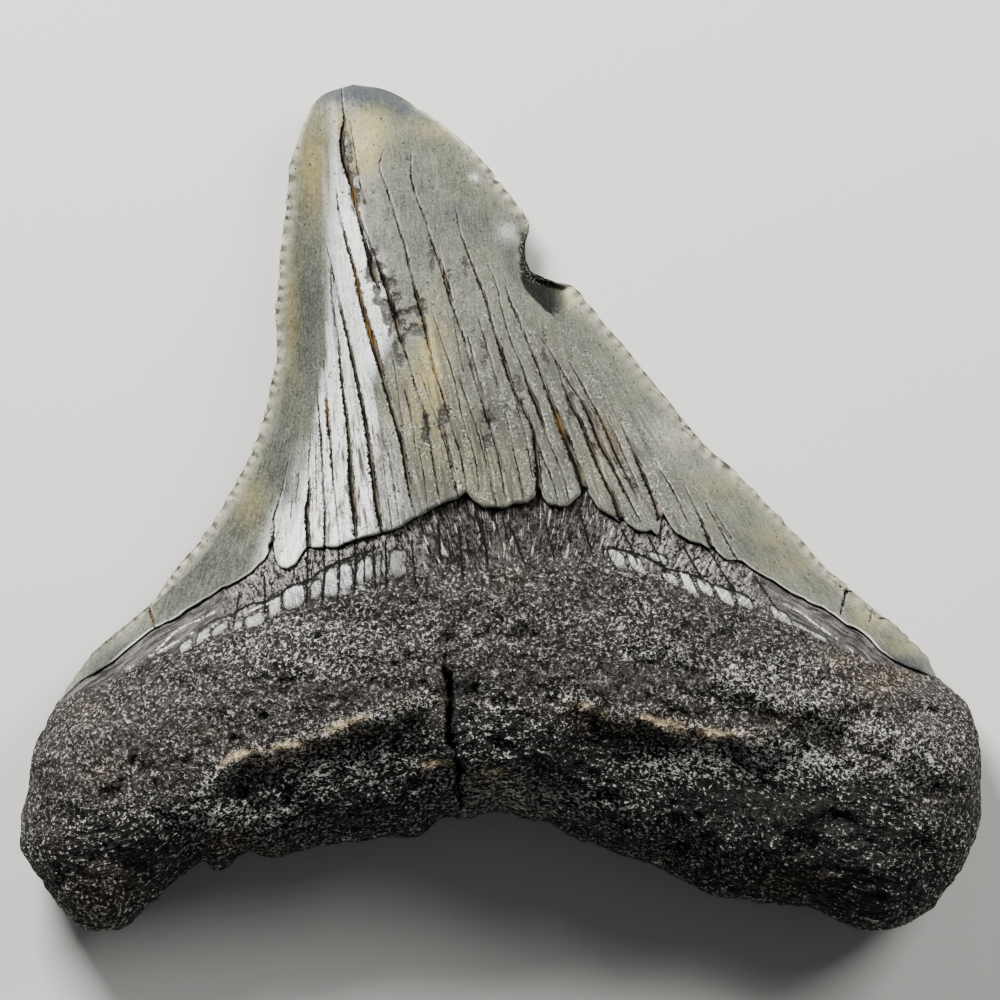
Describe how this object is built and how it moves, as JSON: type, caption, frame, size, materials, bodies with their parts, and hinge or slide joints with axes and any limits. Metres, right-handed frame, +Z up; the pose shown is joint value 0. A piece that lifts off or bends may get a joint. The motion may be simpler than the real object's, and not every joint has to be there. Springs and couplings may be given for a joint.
{
  "type": "megalodon tooth",
  "caption": "Fossil megalodon tooth lying flat: broad serrated blade with enamel cracks and a bite notch, over a thick rough two-lobed root.",
  "frame": {"origin": "on the ground the tooth lies on, under the middle of its bounding box", "axes": "+Y points to the tip, +X to the right as seen on the lingual face, +Z up out of the lingual face"},
  "size_m": [0.0776, 0.0686, 0.0177],
  "materials": {
    "fossil_tooth": "satin grey-olive enamel over a matt near-black porous root"
  },
  "bodies": {
    "root": {"tooth": "fossil_tooth"}
  },
  "joints": []
}
